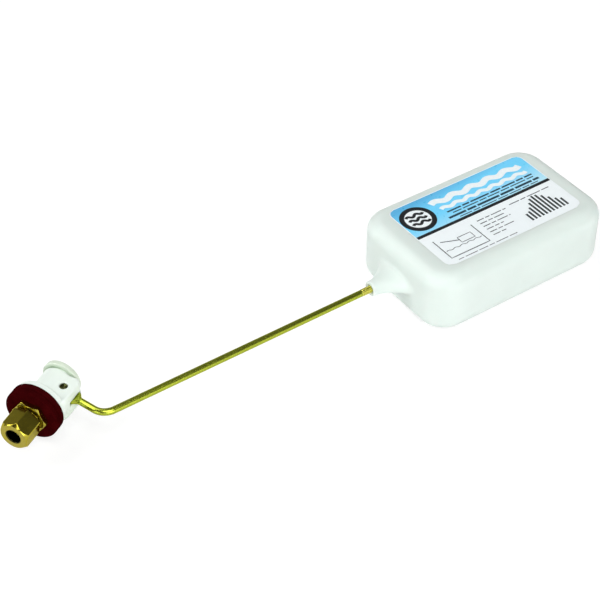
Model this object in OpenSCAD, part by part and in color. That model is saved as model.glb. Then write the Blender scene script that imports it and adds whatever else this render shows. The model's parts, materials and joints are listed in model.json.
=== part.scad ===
// Float valve for a water tank: a brass inlet clamped through the tank wall, a white moulded
// valve body with a plunger inside, and a bent brass arm that carries a hollow plastic float.
// Frame: origin on the inlet axis at the flange's sealing face, +X along the inlet into the
// tank, +Z along the pivot pin. The arm hangs on the -Y side. Millimetres.

/* [Float] */
// Length of the float, along the arm
float_l = 101.6; // [70:0.1:130]
// Width of the float
float_w = 63.5; // [45:0.1:80]
// Thickness of the float, along the pivot pin
float_h = 32; // [20:0.5:45]
// Radius of the float's four upright corners
float_corner_r = 13.7; // [8:0.1:18]
// Radius of the float's top and bottom edges
float_edge_r = 6.9; // [3:0.1:7.5]
// Wall of the hollow float
float_wall = 1.2; // [0.8:0.1:2.5]
// Length of the neck that takes the end of the arm
neck_l = 14.7; // [8:0.1:20]
// Diameter of the neck's round tip
neck_d = 7.4; // [6:0.1:10]

/* [Arm] */
// Diameter of the arm's round rod
rod_d = 3.18; // [2.4:0.01:4]
// Length from the bend to the middle of the float
reach = 203.6; // [150:0.1:260]
// Angle of the long stretch below the inlet axis, arm hanging
arm_drop = 30.1; // [20:0.1:45]
// Backward lean of the short stretch between the boss and the bend
shank_lean = 12.1; // [0:0.1:20]
// Slight turn of the float against the rod, at the tip of the neck
float_turn = 0.4; // [0:0.1:1.5]
// Radius of the bend, at the middle of the rod
bend_r = 7; // [4:0.1:12]
// Width of the flat spade at the top of the arm
spade_w = 7; // [5:0.1:7.2]
// Thickness of the flat spade
spade_t = 1.6; // [1:0.1:2]

/* [Valve body] */
// Diameter of the flange behind the gaskets
flange_d = 23.6; // [18:0.1:30]
// Thickness of the flange
flange_t = 2.8; // [2:0.1:4]
// Outside diameter of the drum
drum_d = 14.8; // [14:0.1:18]
// Distance from the sealing face to the open end of the drum
drum_end = 17.6; // [17.2:0.1:20]
// Diameter of the end cap
cap_d = 17.8; // [15:0.1:22]
// Thickness of the end cap's disc
cap_t = 2.3; // [1.5:0.1:4]
// Depth of the lever boss below the inlet axis
boss_depth = 10.1; // [9.8:0.1:12]
// Width of the lever boss, along the pivot pin
boss_w = 11.2; // [9:0.1:13]
// Radius of the boss's lower corners
boss_corner_r = 3; // [1.2:0.1:3.2]
// Radius of the boss's long edges
boss_edge_r = 0.9; // [0.3:0.1:1.2]

/* [Inlet] */
// Diameter of the threaded inlet stem
stem_d = 11.1; // [10:0.1:12]
// Diameter of the gaskets
gasket_d = 25; // [20:0.1:30]
// Thickness of one gasket
gasket_t = 2.8; // [1.5:0.1:3]
// Lock nut, across the flats
lock_nut_af = 14.3; // [13:0.1:16]
// Thickness of the lock nut
lock_nut_t = 2.2; // [2:0.1:3]
// Compression nut, across the flats
comp_nut_af = 12.7; // [12.7:0.1:14]
// Length of the compression nut
comp_nut_l = 10.4; // [10:0.1:11.4]
// Hole in the compression nut for a 6.35 mm tube
tube_hole_d = 6.6; // [6.5:0.05:6.8]

/* [Pivot and plunger] */
// Pivot pin diameter
pin_d = 3.6; // [3:0.1:4]
// Radial clearance of the arm on the pin
pin_gap = 0.06; // [0.02:0.01:0.1]
// Travel of the arm from hanging to shut
shut_angle = 20; // [10:1:20]
// Travel of the arm from hanging back to its stop
stop_angle = 6; // [2:1:6]

/* [Hidden] */
$fn = 64;
eps = 0.01;

// Pivot and the two stretches of the arm
pin_x = 10.2;
pin_y = -6.7;
pin_l = boss_w - 0.2;
pin_dome = 0.6;
shank_angle = -90 - shank_lean;
shank_x = pin_x + 1.3;
spade_full = 3.9;
spade_end = 7;
tongue_angle = 90 - (shut_angle - stop_angle) / 2;
tongue_l = -pin_y;
tongue_r = 2;
waist = 1.9;
rod_r = rod_d / 2;
thread_r = rod_r + 0.1;
thread_l = 17;
bend_turn = -arm_drop - shank_angle;
bend_cut = bend_r * tan(bend_turn / 2);
// the bend is a hair thicker than the rod, so that the straight ends lap inside it
bend_rod_r = rod_r + 0.012;
joint_lap = 0.3;
shank_l = 21.1;
bend_x = shank_x + shank_l * cos(shank_angle);
bend_y = pin_y + shank_l * sin(shank_angle);
face_l = reach - float_l / 2;
thread_bare = 5;
thread_x = face_l - neck_l - thread_bare;

// Chamber, plunger and its travel
bore_r = 5.6;
floor_x = 1.4;
seat_x = 2.4;
tongue_x = pin_x + tongue_l * cos(tongue_angle);
shut_travel = tongue_l * (cos(tongue_angle) - cos(tongue_angle + shut_angle));
plunger_r = bore_r - 0.3;
slot_half = tongue_r + 0.2;
plunger_front = 5.2;
plunger_back = 14.9;
washer_x = seat_x + shut_travel + 0.05;
washer_r = 3.6;
washer_back = 6.2;
plug_x = 16;

// Lever slot through the boss
slot_x0 = 6.2;
slot_x1 = 15.8;
slot_z = spade_t / 2 + 0.25;

// Neck's flare and its oval foot on the float's end face, as half sizes
flare_l = 8.5;
flare_steps = 5;
flare_foot_y = 12.5;
flare_foot_z = 6.8;

// Sticker, and where its middle lies from the middle of the float
label_l = 79.3;
label_w = 47;
label_t = 0.15;
label_r = 4;
label_dx = 0.9;
label_dy = 0.9;

// Inlet side, from the flange outwards
lock_nut_x = -2 * gasket_t - lock_nut_t;
comp_nut_x = -19.45;
comp_nut_spin = 14;
lock_nut_spin = 38;
stem_end = -15.2;
stem_r = stem_d / 2;
tube_hole_r = tube_hole_d / 2;
tube_lead = 0.25;
stem_hole_r = stem_r + 0.05;
tube_stop = -8;
shoulder_x = -16.6;
sleeve_r = 3.95;
// mouth of the stem: a counterbore for the sleeve, then a cone that pinches its nose
mouth_r = sleeve_r + 0.15;
mouth_l = 1.8;
cone_l = 2.4;
nose_l = 1.8;
nose_wall = 0.1;
water_r = 2.2;
jet_r = 0.9;
spigot_r = 4.2;

// ---- helpers ----

// Turns a shape drawn along Z so that it runs along +X
module along_x() { rotate([0, 90, 0]) children(); }

// Disc or ring on the inlet axis, its edges broken by a small chamfer c
module ring_x(x0, x1, r, hole = 0, c = 0.2) {
    along_x() rotate_extrude()
        polygon([[hole, x0], [r - c, x0], [r, x0 + c], [r, x1 - c], [r - c, x1], [hole, x1]]);
}

// Plain cylinder on the inlet axis
module bar_x(x0, x1, r) { translate([x0, 0, 0]) along_x() cylinder(h = x1 - x0, r = r); }

// Hexagon bar on the inlet axis with its corners turned down at both ends
module hex_x(x0, x1, af, spin, front, back) {
    corner_r = af / 2 / cos(30);
    slope = tan(30);
    intersection() {
        translate([x0, 0, 0]) rotate([spin, 0, 0]) along_x()
            cylinder(h = x1 - x0, r = corner_r, $fn = 6);
        along_x() rotate_extrude() polygon([
            [0, x0], [corner_r - front, x0], [corner_r + eps, x0 + (front + eps) * slope],
            [corner_r + eps, x1 - (back + eps) * slope], [corner_r - back, x1], [0, x1]]);
    }
}

// Box with rounded upright corners (r) and rounded top and bottom edges (e), centred
module soft_box(l, w, h, r, e) {
    // side view of one edge-rounded slab, half width s
    module slab(s) {
        square([2 * s, h - 2 * e], center = true);
        square([2 * (s - e), h], center = true);
        for (x = [-1, 1], y = [-1, 1]) translate([x * (s - e), y * (h / 2 - e)]) circle(e);
    }
    rotate([90, 0, 0]) linear_extrude(w - 2 * r, center = true) slab(l / 2);
    rotate([90, 0, 90]) linear_extrude(l - 2 * r, center = true) slab(w / 2);
    for (x = [-1, 1], y = [-1, 1]) translate([x * (l / 2 - r), y * (w / 2 - r), 0])
        rotate_extrude() intersection() {
            slab(r);
            translate([0, -h]) square([r + 1, 2 * h]);
        }
}

// Frame of the short stretch: +X down the shank from the pivot
module at_shank() { translate([shank_x, pin_y, 0]) rotate(shank_angle) children(); }

// Frame of the long stretch: origin at the sharp corner of the bend, +X towards the float
module at_reach() { translate([bend_x, bend_y, 0]) rotate(-arm_drop) children(); }

// Frame of the float: origin in its middle, +X away from the neck
module at_float() {
    at_reach() translate([face_l - neck_l, 0, 0]) rotate(-float_turn)
        translate([float_l / 2 + neck_l, 0, 0]) children();
}

// ---- valve body ----

module valve_body() {
    color([0.93, 0.96, 0.94]) difference() {
        union() {
            ring_x(0, flange_t, flange_d / 2, 0, 0.5);
            bar_x(flange_t - 1, drum_end, drum_d / 2);
            boss();
        }
        bar_x(floor_x, drum_end + 1, bore_r);
        bar_x(-1, floor_x + 1, spigot_r);
        translate([slot_x0, -boss_depth - 1, -slot_z])
            cube([slot_x1 - slot_x0, boss_depth + 1, 2 * slot_z]);
        translate([pin_x, pin_y, -boss_w]) cylinder(h = 2 * boss_w, r = pin_d / 2);
    }
}

// Flat-sided block that grows out of the flange and the underside of the drum
module boss() {
    x0 = 1;
    x1 = drum_end - 0.8;
    top = 1.5;
    translate([(x0 + x1) / 2, (top - boss_depth) / 2, 0])
        soft_box(x1 - x0, top + boss_depth, boss_w, boss_corner_r, boss_edge_r);
}

// Disc with a raised rim, and a plug that presses into the open end of the drum
module end_cap() {
    rim = 1.6;
    dish = 0.5;
    color([0.91, 0.95, 0.93]) difference() {
        union() {
            ring_x(drum_end, drum_end + cap_t, cap_d / 2, 0, 0.4);
            ring_x(plug_x, drum_end + 1, bore_r, 0, 0.3);
        }
        bar_x(drum_end + cap_t - dish, drum_end + cap_t + 1, cap_d / 2 - rim);
    }
}

// ---- brass inlet ----

// Threaded stem moulded into the flange, with the jet and its raised seat at the inner end
module inlet_stem() {
    color([0.72, 0.60, 0.26]) difference() {
        union() {
            ring_x(stem_end, 0, stem_r, 0, 0.6);
            bar_x(-1, floor_x, spigot_r);
            ring_x(floor_x, floor_x + 0.5, spigot_r + 0.9, 0, 0.1);
            along_x() cylinder(h = seat_x, r1 = spigot_r, r2 = jet_r + 0.9);
        }
        bar_x(tube_stop - eps, 0, water_r);
        bar_x(-1, seat_x + 1, jet_r);
        bar_x(stem_end - 1, tube_stop, tube_hole_r);
        translate([stem_end + mouth_l, 0, 0]) along_x()
            cylinder(h = cone_l, r1 = mouth_r, r2 = tube_hole_r);
        bar_x(stem_end - 1, stem_end + mouth_l + eps, mouth_r);
    }
}

module compression_nut() {
    color([0.80, 0.72, 0.36]) difference() {
        hex_x(comp_nut_x, comp_nut_x + comp_nut_l, comp_nut_af, comp_nut_spin, 1.4, 0.5);
        bar_x(comp_nut_x - 1, comp_nut_x + comp_nut_l, tube_hole_r);
        translate([comp_nut_x - eps, 0, 0]) along_x()
            cylinder(h = tube_lead + eps, r1 = tube_hole_r + tube_lead + eps, r2 = tube_hole_r);
        bar_x(shoulder_x, comp_nut_x + comp_nut_l + 1, stem_hole_r);
    }
}

// Sleeve with a tapered nose that the nut presses on to the tube
module compression_sleeve() {
    back = shoulder_x + 0.1;
    nose = stem_end + mouth_l + nose_l;
    color([0.85, 0.76, 0.42]) along_x() rotate_extrude() polygon([
        [tube_hole_r, back], [sleeve_r - 0.5, back], [sleeve_r, back + 0.6],
        [sleeve_r, nose - nose_l], [tube_hole_r + nose_wall, nose], [tube_hole_r, nose]]);
}

module lock_nut() {
    color([0.76, 0.66, 0.30]) difference() {
        hex_x(lock_nut_x, lock_nut_x + lock_nut_t, lock_nut_af, lock_nut_spin, 0.9, 0.2);
        bar_x(lock_nut_x - 1, 1, stem_hole_r);
    }
}

module gasket(x0) {
    color([0.28, 0.04, 0.06]) ring_x(x0, x0 + gasket_t, gasket_d / 2, stem_hole_r, 0.25);
}
module outer_gasket() gasket(-2 * gasket_t);
module inner_gasket() gasket(-gasket_t);

// ---- pivot and plunger ----

// Brass pin, each end domed
module pivot_pin() {
    r = pin_d / 2;
    dome_r = (r * r + pin_dome * pin_dome) / (2 * pin_dome);
    color([0.55, 0.50, 0.20]) translate([pin_x, pin_y, 0]) {
        cylinder(h = pin_l - 2 * pin_dome, r = r, center = true);
        for (side = [-1, 1]) scale([1, 1, side]) rotate_extrude() intersection() {
            translate([0, pin_l / 2 - dome_r]) circle(dome_r);
            translate([0, pin_l / 2 - pin_dome - 0.1]) square([r, pin_dome + 0.2]);
        }
    }
}

// Plunger: a fluted slug with a pocket for the washer and a cross slot for the arm's tongue
module plunger() {
    flute_r = 1.2;
    flat_y = 2.75;
    color([0.88, 0.90, 0.86]) difference() {
        ring_x(plunger_front, plunger_back, plunger_r, 0, 0.4);
        bar_x(plunger_front - 1, washer_back, washer_r);
        for (a = [0 : 60 : 240]) rotate([a - 30, 0, 0]) translate([0, plunger_r, 0])
            bar_x(plunger_front - 1, plunger_back + 1, flute_r);
        translate([plunger_front - 1, -plunger_r - 1, -plunger_r])
            cube([plunger_back, plunger_r + 1 - flat_y, 2 * plunger_r]);
        translate([tongue_x - slot_half, -plunger_r - 1, -slot_z])
            cube([2 * slot_half, plunger_r + 1 + tongue_r + 0.4, 2 * slot_z]);
    }
}

module seat_washer() {
    color([0.10, 0.10, 0.11]) ring_x(washer_x, washer_back, washer_r, 0, 0.15);
}

// ---- arm ----

// Brass arm: tongue and spade cut from the flattened end, then the round rod
module float_arm() {
    color([0.74, 0.70, 0.30]) {
        difference() {
            spade_flat();
            translate([pin_x, pin_y, -5]) cylinder(h = 10, r = pin_d / 2 + pin_gap);
        }
        at_shank() {
            translate([spade_full, 0, 0]) along_x()
                cylinder(h = spade_end - spade_full, r1 = spade_t / 2, r2 = bend_rod_r);
            bar_x(spade_end - 0.02, shank_l - bend_cut + joint_lap, rod_r);
            translate([shank_l - bend_cut, bend_r, 0]) rotate(-90)
                rotate_extrude(angle = bend_turn) translate([bend_r, 0]) circle(bend_rod_r);
        }
        at_reach() {
            bar_x(bend_cut - joint_lap, thread_x + 1, rod_r);
            ring_x(thread_x, thread_x + thread_l, thread_r, 0, 0.15);
        }
    }
}

// Flat outline of the spade, the eye around the pin and the tongue above it
module spade_flat() {
    s = spade_w / 2;
    root = sqrt(rod_r * rod_r - spade_t * spade_t / 4) - 0.05;
    translate([0, 0, -spade_t / 2]) linear_extrude(spade_t) {
        at_shank() polygon([[-1.2, -s], [spade_full, -s], [spade_end, -root],
            [spade_end, root], [spade_full, s], [0.4, s], [-2.2, 1.2]]);
        translate([pin_x, pin_y]) circle(s + 0.1);
        translate([pin_x, pin_y]) rotate(tongue_angle) {
            polygon([[2, -2.4], [3.6, -waist / 2], [tongue_l, -waist / 2],
                [tongue_l, waist / 2], [3.6, waist / 2], [2, 2.4]]);
            translate([tongue_l, 0]) circle(tongue_r);
        }
    }
}

// ---- float ----

// Hollow float with a flared neck, and a blind hole in the neck for the end of the arm
module float_shell() {
    x0 = -float_l / 2;
    neck_x = face_l - neck_l;
    color([0.87, 0.95, 0.92]) difference() {
        at_float() {
            soft_box(float_l, float_w, float_h, float_corner_r, float_edge_r);
            translate([x0, 0, 0]) for (i = [0 : flare_steps - 1])
                flare(i / flare_steps, (i + 1) / flare_steps);
            bar_x(x0 - neck_l, x0 - flare_l + 1, neck_d / 2);
        }
        at_float() soft_box(float_l - 2 * float_wall, float_w - 2 * float_wall,
            float_h - 2 * float_wall, float_corner_r - float_wall, float_edge_r - float_wall);
        at_reach() bar_x(neck_x - 1, neck_x + thread_l - thread_bare + 0.3, thread_r + 0.02);
    }
}

// Stage of the neck's flare, from share a to share b of its length: the round neck opens
// into a flat oval where it meets the float's end face
module flare(a, b) {
    hull() for (t = [a, b]) {
        y = neck_d / 2 + (flare_foot_y - neck_d / 2) * pow(t, 2.3);
        z = neck_d / 2 + (flare_foot_z - neck_d / 2) * pow(t, 1.9);
        translate([(t - 1) * flare_l + t, 0, 0]) rotate([0, 90, 0]) scale([z, y, 1])
            cylinder(h = eps, r = 1, $fn = 28);
    }
}

// Sticker on the float's upper face
module float_label() {
    x = label_l / 2 - label_r;
    y = label_w / 2 - label_r;
    color([0.60, 0.80, 0.92]) at_float() translate([label_dx, label_dy, float_h / 2])
        linear_extrude(label_t) {
            square([label_l, 2 * y], center = true);
            square([2 * x, label_w], center = true);
            for (i = [-1, 1], j = [-1, 1]) translate([i * x, j * y]) circle(label_r);
        }
}

valve_body();
end_cap();
inlet_stem();
compression_nut();
compression_sleeve();
lock_nut();
outer_gasket();
inner_gasket();
pivot_pin();
plunger();
seat_washer();
float_arm();
float_shell();
float_label();
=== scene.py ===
"""Looks of a float valve: moulded body, brass inlet, gaskets, bent brass arm and hollow float.

Run as a script inside Blender, or read as an add-on: each operator builds one group of pieces
around the packed solids, and the panel in the 3D view's sidebar lists them. Lengths below are in
millimetres, in the frame of the solids, until a mesh is made from them.
"""

import json
import math

import bmesh
import bpy
import numpy as np
from mathutils import Matrix, Vector


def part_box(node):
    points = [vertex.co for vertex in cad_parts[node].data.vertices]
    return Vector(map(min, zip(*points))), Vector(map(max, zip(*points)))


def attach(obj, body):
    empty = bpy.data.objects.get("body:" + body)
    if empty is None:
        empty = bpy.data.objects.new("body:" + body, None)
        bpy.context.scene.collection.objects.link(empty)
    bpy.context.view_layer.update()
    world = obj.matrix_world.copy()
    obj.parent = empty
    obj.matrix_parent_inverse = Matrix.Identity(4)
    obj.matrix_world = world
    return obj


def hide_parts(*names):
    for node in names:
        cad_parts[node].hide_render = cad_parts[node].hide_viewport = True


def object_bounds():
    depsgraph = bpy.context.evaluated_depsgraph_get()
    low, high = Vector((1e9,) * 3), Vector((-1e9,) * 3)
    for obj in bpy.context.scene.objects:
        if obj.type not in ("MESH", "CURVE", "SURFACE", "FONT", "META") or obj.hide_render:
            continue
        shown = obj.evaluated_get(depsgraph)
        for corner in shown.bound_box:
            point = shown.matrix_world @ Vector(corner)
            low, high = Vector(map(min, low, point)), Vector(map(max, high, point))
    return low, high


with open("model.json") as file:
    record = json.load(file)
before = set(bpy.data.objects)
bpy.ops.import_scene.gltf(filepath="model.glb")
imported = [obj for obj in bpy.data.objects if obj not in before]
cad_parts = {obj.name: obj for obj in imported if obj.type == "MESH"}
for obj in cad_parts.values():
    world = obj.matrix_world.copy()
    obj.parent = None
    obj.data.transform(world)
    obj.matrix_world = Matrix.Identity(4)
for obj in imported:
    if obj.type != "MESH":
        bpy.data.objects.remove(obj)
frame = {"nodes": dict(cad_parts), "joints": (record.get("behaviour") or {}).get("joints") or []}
CAD_BOX = [list(corner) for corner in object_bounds()]

bl_info = {
    "name": "Float valve looks",
    "version": (1, 0, 0),
    "blender": (4, 5, 0),
    "location": "3D View > Sidebar > Float valve",
    "description": "Builds the visible pieces and finishes of a tank float valve",
    "category": "Object",
}

MM = 0.001
X, Y, Z = Vector((1, 0, 0)), Vector((0, 1, 0)), Vector((0, 0, 1))


# ---- sizes from the solids


def box_mm(node):
    """Lowest and highest corner of a solid, in millimetres."""
    return [tuple(c / MM for c in corner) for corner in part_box(node)]


def aimed(degrees):
    """Unit vector in the plane of the arm, at an angle from the inlet axis."""
    return Vector((math.cos(math.radians(degrees)), math.sin(math.radians(degrees)), 0))


# valve body, its cap, the inlet and the gaskets
PIVOT = Vector(frame["joints"][0]["pos_m"]) / MM
(_, BOSS_FOOT, _), (BODY_END, FLANGE_R, _) = box_mm("valve_body")
BOSS_HALF, BOSS_CORNER, BOSS_EDGE, BOSS_TOP = 5.6, 3.0, 0.9, 1.5
DRUM_R, BORE_R, SPIGOT_R = 7.4, 5.6, 4.2
FLANGE_T, FLOOR_X = 2.8, 1.4
SLOT_MIDDLE, SLOT_HALF, PIN_GAP = (11, -12, 0), (4.8, 12, 1.05), 0.06
CAP_GROOVE, CAP_DISH, CAP_RIM = 1.1, 0.5, 1.6
CAP_END, CAP_R = box_mm("end_cap")[1][:2]
NUT_FRONT, NUT_BACK = (corner[0] for corner in box_mm("compression_nut"))
NUT_FLATS, NUT_SPIN = 12.7, 14
LOCK_FRONT, LOCK_BACK = (corner[0] for corner in box_mm("lock_nut"))
LOCK_FLATS, LOCK_SPIN, NUT_EDGE = 14.3, 38, 0.02
(STEM_FRONT, _, _), (SEAT_X, STEM_R, _) = box_mm("inlet_stem")
TUBE_R, TUBE_LEAD, TUBE_STOP, SLEEVE_SHOULDER = 3.3, 0.25, -8, -16.6
THREAD_GAP, STEM_THREAD = 0.05, 0.62
PIN_HALF, PIN_DISH = box_mm("pivot_pin")[1][2], 0.6
PIN_R = box_mm("pivot_pin")[1][1] - PIVOT.y

# arm, from the pivot to the end of its thread inside the float's neck
ROD_R = 1.59
SHANK, ROD = aimed(-102.1), aimed(-30.1)
SHANK_START = PIVOT + Vector((1.3, 0, 0))
BEND_R, BEND_TURN = 7, 72.0
SPADE_HALF_W, SPADE_HALF_T, SPADE_FULL, SPADE_END = 3.5, 0.8, 3.9, 7.0
# the blade turns round this much later than in the solid, to stay clear of the slot's sides
SPADE_LATE = 0.8
# how far its mesh runs on into the eye and into the rod
SPADE_IN_EYE, SPADE_IN_ROD = 1, 1.2
TONGUE, TONGUE_WAIST_R, TONGUE_TIP_R = aimed(83), 0.95, 2
ARM_THREAD, ARM_THREAD_RISE, THREAD_BARE, THREAD_HIDDEN = 0.42, 0.1, 5, 12

# float and sticker, measured from the middle of the float along and across it
REACH, ACROSS = aimed(-30.5), aimed(59.5)
STICKER_L, STICKER_W, STICKER_R = 79.3, 47.0, 4.0
STICKER_MID = (0.9, 0.9)
FLOAT_HALF = (50.8, 31.75, -box_mm("float_shell")[0][2])
FLOAT_CORNER, FLOAT_EDGE = 13.7, 6.9
NECK_L, NECK_R, FLARE_L, FLARE_FOOT = 14.7, 3.7, 13.0, (13.0, 5.4)
FLARE_POWER, NECK_FILLET = (1.5, 2.2), 1.6
MOUTH_GAP, MOUTH_SLOPE = 0.9, 1.2
# the float's long sides draw in by this share of the dip in its upper face
SIDE_SAG = 0.6
FLOAT_MID = (Vector(box_mm("float_label")[0]) + Vector(box_mm("float_label")[1])) / 2
FLOAT_MID = FLOAT_MID - STICKER_MID[0] * REACH - STICKER_MID[1] * ACROSS
FLOAT_MID.z = 0
NECK_TIP = FLOAT_MID - (FLOAT_HALF[0] + NECK_L) * REACH
BEND = NECK_TIP - 138.1 * ROD
SHANK_L = (BEND - SHANK_START).length


# ---- settings


def linear(hex_colour):
    """A colour written as sRGB hex, turned into Blender's linear RGBA."""
    parts = [int(hex_colour[i : i + 2], 16) / 255 for i in (1, 3, 5)]
    return [p / 12.92 if p <= 0.04045 else ((p + 0.055) / 1.055) ** 2.4 for p in parts] + [1.0]


def colour_prop(name, description, hex_colour):
    """A colour that the panel shows, with its default given as sRGB hex."""
    return bpy.props.FloatVectorProperty(
        name=name,
        description=description,
        subtype="COLOR",
        size=4,
        min=0,
        max=1,
        default=linear(hex_colour),
    )


def angle_prop(name, description, degrees):
    """An angle that the panel shows in degrees."""
    return bpy.props.FloatProperty(
        name=name, description=description, subtype="ANGLE", default=math.radians(degrees)
    )


def mm_prop(name, description, default):
    """A length in millimetres that the panel shows."""
    return bpy.props.FloatProperty(name=name, description=description, default=default, min=0)


class FloatValveStage(bpy.types.PropertyGroup):
    """Camera, floor and lights."""

    azimuth: angle_prop("Azimuth", "Camera's turn about the vertical, 0 looks along +Y", -64.7)
    elevation: angle_prop("Elevation", "Camera's angle above the floor", 41.48)
    roll: angle_prop("Roll", "Camera's turn about its own axis", -0.37)
    distance: bpy.props.FloatProperty(
        name="Distance",
        description="From the camera to the point that it looks at",
        unit="LENGTH",
        default=0.72395,
    )
    lens: bpy.props.FloatProperty(
        name="Lens", description="Focal length on a 36 mm sensor, in mm", default=96.69
    )
    aim: bpy.props.FloatVectorProperty(
        name="Aim",
        description="Point that the camera looks at",
        subtype="TRANSLATION",
        unit="LENGTH",
        default=(0.10655, -0.07107, 0.0001),
    )


class FloatValveSizes(bpy.types.PropertyGroup):
    """Small sizes that the solids leave plain."""

    mould_round: mm_prop("Moulded edge", "Radius of the body's moulded edges", 0.45)
    boss_fillet: mm_prop("Boss fillet", "Where the lever boss grows out of the drum", 1.8)
    flange_fillet: mm_prop("Flange fillet", "Where the drum grows out of the flange", 0.8)
    sag: mm_prop("Sag", "Dip in the middle of the float's upper face", 0.3)
    stem_pitch: mm_prop("Stem thread pitch", "24 threads to the inch", 25.4 / 24)
    arm_pitch: mm_prop("Arm thread pitch", "32 threads to the inch", 25.4 / 32)


class FloatValveColours(bpy.types.PropertyGroup):
    """Colours of the finishes."""

    acetal: colour_prop("Acetal", "White moulded valve body", "#ecf6ee")
    # the cap's white is darker and greener than the body's
    acetal_cap: colour_prop("Cap acetal", "End cap, a little greener", "#d8e4d2")
    # painted shade: the green-grey that darkens the body's recesses, more so towards +Y and towards
    # the bottom
    acetal_shade_tint: colour_prop("Acetal grime", "Green bloom in the body's recesses", "#a6bda0")
    brass_bar: colour_prop("Bar brass", "Turned nuts and stem", "#b4a632")
    # partly painted reflection: tone of the faces turned towards -X, duller and paler than the bar
    brass_front_face: colour_prop("Cut brass", "Freshly turned end faces", "#a89c50")
    brass_rod: colour_prop("Rod brass", "Drawn rod of the arm", "#b3bf3b")
    brass_thread: colour_prop("Thread brass", "Thread at the end of the rod", "#d6d262")
    # painted shade: the pin's ends are given near-black brass
    brass_pin: colour_prop("Pin brass", "Ends of the pivot pin", "#4c5028")
    gasket: colour_prop("Gasket", "Dark red rubber", "#340406")
    polyethylene: colour_prop("Polyethylene", "Milky float", "#dce6e1")
    film_blue: colour_prop("Film blue", "Middle of the sticker's blue field", "#74d6ff")
    film_deep: colour_prop("Film deep blue", "Blue at the sticker's far corner", "#5ab2e2")
    film_pale: colour_prop("Film pale blue", "Blue next to the black stripe", "#bbe9fa")
    film_white: colour_prop("Film white", "Lower half of the sticker", "#f4fbfd")
    ink_black: colour_prop("Black ink", "Stripe and badge", "#14181c")
    ink_navy: colour_prop("Navy ink", "Broken rules on the blue field", "#1b3a4c")
    ink_grey: colour_prop("Grey ink", "Fine printed lines", "#30373b")


def chosen(name):
    """One of the colours above, as the panel has it."""
    return list(getattr(bpy.context.scene.float_valve_colours, name))


# ---- mesh helpers


def new_piece(name, vertices, faces, smooth=True):
    """A mesh object from vertices in millimetres, in the frame of the solids."""
    mesh = bpy.data.meshes.new(name)
    mesh.from_pydata([tuple(c * MM for c in v) for v in vertices], [], [tuple(f) for f in faces])
    mesh.validate()
    mesh.update()
    mesh.polygons.foreach_set("use_smooth", [smooth] * len(mesh.polygons))
    piece = bpy.data.objects.new(name, mesh)
    bpy.context.scene.collection.objects.link(piece)
    return piece


def dress(piece, material):
    """Gives a piece that finish and no other."""
    piece.data.materials.clear()
    piece.data.materials.append(material)


def finish_piece(piece, body, material, replaced=()):
    """Gives a piece its finish, the solids that it stands for and the body that it moves with."""
    dress(piece, material)
    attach(piece, body)
    if replaced:
        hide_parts(*replaced)
    return piece


def lower(a, b, blend):
    """Smaller of two fields, with a fillet of about that radius where they meet."""
    h = np.clip(0.5 + 0.5 * (b - a) / blend, 0, 1)
    return b + (a - b) * h - blend * h * (1 - h)


def higher(a, b, blend):
    """Larger of two fields, with the edge where they meet rounded."""
    return -lower(-a, -b, blend)


def rod_field(p, start, end, radius, blend):
    """Distance to a round bar from start to end, its rims rounded."""
    start, end = np.array(start, float), np.array(end, float)
    length = np.linalg.norm(end - start)
    axis = (end - start) / length
    offset = p - start
    along = offset @ axis
    radial = np.linalg.norm(offset - along[..., None] * axis, axis=-1)
    return higher(radial - radius, np.abs(along - length / 2) - length / 2, blend)


def block_field(p, centre, half, corner, edge):
    """Distance to a block with rounded upright corners and rounded upper and lower edges."""
    side = np.abs(p[..., :2] - np.array(centre[:2])) - np.array(half[:2]) + corner
    plan = np.linalg.norm(np.maximum(side, 0), axis=-1) + np.minimum(side.max(-1), 0) - corner
    rise = np.abs(p[..., 2] - centre[2]) - half[2]
    both = np.stack([plan + edge, rise + edge], -1)
    return np.linalg.norm(np.maximum(both, 0), axis=-1) + np.minimum(both.max(-1), 0) - edge


def grid_line(*stretches):
    """Grid positions along one axis, from stretches of (start, end, step) that follow on."""
    parts = [np.arange(start, end - step / 2, step) for start, end, step in stretches]
    return np.concatenate([*parts, [stretches[-1][1]]])


def skin(name, field, axes, place=None):
    """Mesh of the surface where field(points) is zero, with one vertex to each crossed grid cell.

    axes are three lines of grid positions. place(vertices) may move the mesh as a whole.
    """
    points = np.stack(np.meshgrid(*axes, indexing="ij"), -1)
    values = field(points)
    cells = tuple(n - 1 for n in values.shape)
    total, count = np.zeros((*cells, 3)), np.zeros(cells)
    crossings = []
    for axis in range(3):
        line = np.moveaxis(values, axis, 0)
        near, far = line[:-1], line[1:]
        crossed = (near < 0) != (far < 0)
        share = np.where(crossed, near / np.where(crossed, near - far, 1), 0)
        spot = np.moveaxis(points, axis, 0)[:-1].copy()
        spot[..., axis] += share * np.diff(axes[axis])[:, None, None]
        spot *= crossed[..., None]
        crossed, spot, falls = (np.moveaxis(a, 0, axis) for a in (crossed, spot, near >= 0))
        others = [i for i in range(3) if i != axis]
        crossings.append((axis, others, crossed, falls))
        for i in (0, 1):
            for j in (0, 1):
                window = [slice(None)] * 3
                window[others[0]] = slice(i, i + cells[others[0]])
                window[others[1]] = slice(j, j + cells[others[1]])
                total += spot[tuple(window)]
                count += crossed[tuple(window)]
    used = count > 0
    number = np.full(cells, -1)
    number[used] = np.arange(used.sum())
    vertices = total[used] / count[used][:, None]
    for _ in range(4):
        vertices = settle(vertices, field)
    faces = []
    for axis, others, crossed, falls in crossings:
        at = np.argwhere(crossed)
        flip = falls[crossed] != (axis == 1)
        ring = []
        for i, j in ((-1, -1), (0, -1), (0, 0), (-1, 0)):
            cell = at.copy()
            cell[:, others[0]] += i
            cell[:, others[1]] += j
            ring.append(number[tuple(cell.T)])
        quads = np.stack(ring, 1)
        quads[flip] = quads[flip][:, ::-1]
        faces.append(quads)
    return tidied(new_piece(name, place(vertices) if place else vertices, np.concatenate(faces)))


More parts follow.
